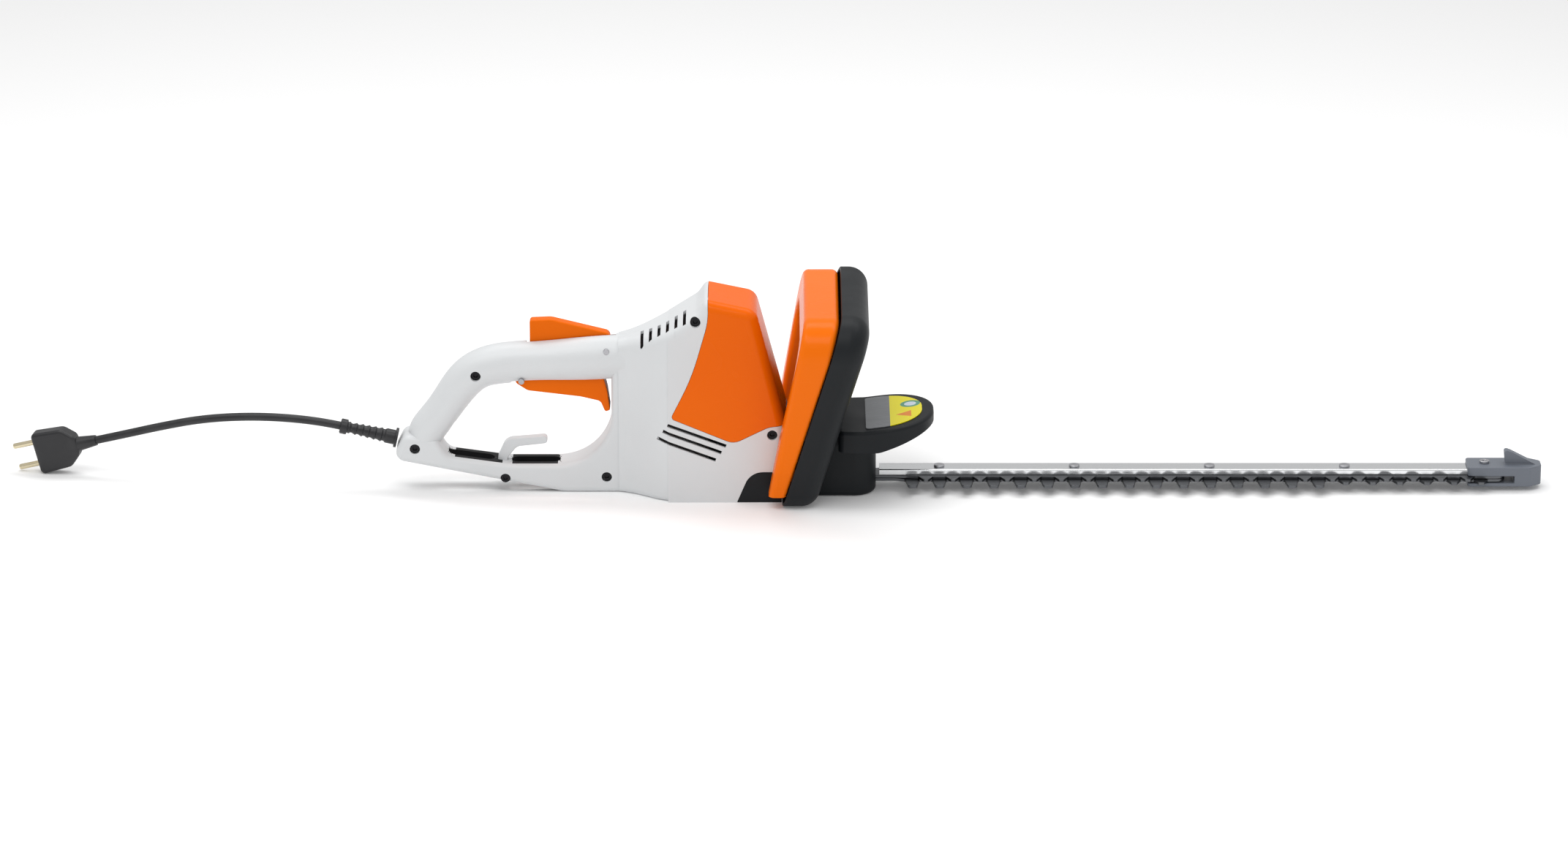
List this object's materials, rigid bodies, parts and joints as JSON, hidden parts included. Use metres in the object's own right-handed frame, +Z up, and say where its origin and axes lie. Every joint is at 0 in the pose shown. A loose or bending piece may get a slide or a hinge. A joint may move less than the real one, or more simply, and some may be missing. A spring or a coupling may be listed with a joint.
{
  "type": "hedge trimmer",
  "caption": "Mains hedge trimmer with a rear D-handle, front bow and guard, and a double-sided reciprocating blade.",
  "frame": {"origin": "under the middle of the machine on the surface it stands on, the cord left out", "axes": "+X from the rear handle to the blade tip, +Z up, the blade lies flat"},
  "size_m": [1.3047, 0.1896, 0.1749],
  "materials": {
    "housing_white": "satin",
    "cover_orange": "gloss",
    "control_orange": "satin",
    "guard_black": "satin",
    "screw_black": "satin",
    "blade_steel": "ground",
    "bar_aluminium": "bright",
    "tip_grey": "satin",
    "gear_steel": "machined",
    "pin_steel": "bright",
    "spring_steel": "bright",
    "lamination_steel": "stacked",
    "winding_copper": "enamelled",
    "commutator_brass": "turned",
    "carbon_black": "matte",
    "inner_black": "matte",
    "cord_black": "satin",
    "plug_black": "satin",
    "pin_brass": "plated",
    "label_print": "printed"
  },
  "bodies": {
    "machine": {"housing_left": "housing_white", "housing_right": "housing_white", "motor_cover": "cover_orange", "housing_screws": "screw_black", "cord_hook": "housing_white", "trigger_pin": "pin_steel", "trigger_spring": "spring_steel", "lock_pin": "pin_steel", "lock_spring": "spring_steel", "main_switch": "inner_black", "capacitor": "inner_black", "front_bow": "cover_orange", "hand_guard": "guard_black", "gear_case": "guard_black", "tongue": "guard_black", "label_plate": "label_print", "stator": "lamination_steel", "field_coils": "winding_copper", "motor_bearings": "pin_steel", "wheel_bearings": "pin_steel", "motor_bracket": "inner_black", "carbon_brushes": "carbon_black", "brush_holders": "commutator_brass", "guide_bar": "bar_aluminium", "blade_bolts": "pin_steel", "tip_guard": "tip_grey", "tip_screw": "pin_steel", "mains_cord": "cord_black", "strain_relief": "cord_black", "plug_body": "plug_black", "plug_pins": "pin_brass", "cord_clamp": "inner_black"},
    "motor": {"motor_shaft": "gear_steel", "rotor_core": "lamination_steel", "rotor_windings": "winding_copper", "commutator": "commutator_brass", "fan": "inner_black"},
    "gear": {"gear_wheel": "gear_steel", "crank_shaft": "gear_steel"},
    "rod_low": {"con_rod_low": "gear_steel"},
    "rod_high": {"con_rod_high": "gear_steel"},
    "blade_low": {"lower_blade": "blade_steel"},
    "blade_high": {"upper_blade": "blade_steel"},
    "trigger_lever": {"trigger": "control_orange"},
    "lock": {"lock_lever": "control_orange"},
    "switch_bar": {"front_switch_bar": "control_orange"}
  },
  "joints": [
    {"name": "trigger_pull", "type": "hinge", "parent": "machine", "child": "trigger_lever", "pos_m": [-0.3792, 0, 0.099], "axis": [0, -1, 0], "range_deg": [0, 5], "stiffness_Nm_per_rad": 1.2, "springref_deg": -6.88, "deforming": ["trigger_spring"]},
    {"name": "lock_press", "type": "hinge", "parent": "machine", "child": "lock", "pos_m": [-0.3072, 0, 0.126], "axis": [0, -1, 0], "range_deg": [0, 6], "stiffness_Nm_per_rad": 1, "springref_deg": -6.88, "deforming": ["lock_spring"]},
    {"name": "switch_bar_lift", "type": "slide", "parent": "machine", "child": "switch_bar", "axis": [0, 0, 1], "range_m": [0, 0.0035], "stiffness_N_per_m": 300, "springref_m": -0.003},
    {"name": "gear_spin", "type": "hinge", "parent": "machine", "child": "gear", "pos_m": [-0.1732, 0, 0.03], "axis": [0, 0, 1], "continuous": true},
    {"name": "motor_spin", "type": "hinge", "parent": "machine", "child": "motor", "pos_m": [-0.2072, 0, 0.1], "axis": [0, 0, 1], "continuous": true},
    {"name": "rod_low_turn", "type": "hinge", "parent": "gear", "child": "rod_low", "pos_m": [-0.1732, -0.00575, 0.02], "axis": [0, 0, 1], "continuous": true},
    {"name": "rod_high_turn", "type": "hinge", "parent": "gear", "child": "rod_high", "pos_m": [-0.1732, 0.00575, 0.026], "axis": [0, 0, 1], "continuous": true},
    {"name": "blade_high_slide", "type": "slide", "parent": "machine", "child": "blade_high", "axis": [1, 0, 0], "range_m": [-0.00575, 0.00575]},
    {"name": "blade_low_slide", "type": "slide", "parent": "machine", "child": "blade_low", "axis": [1, 0, 0], "range_m": [-0.00575, 0.00575]}
  ],
  "couplings": [
    {"joint": "motor_spin", "follows": "gear_spin", "ratio": -7.5},
    {"joint": "rod_low_turn", "follows": "gear_spin", "ratio": -1},
    {"joint": "rod_high_turn", "follows": "gear_spin", "ratio": -1},
    {"joint": "blade_high_slide", "follows": "blade_low_slide", "ratio": -1}
  ]
}
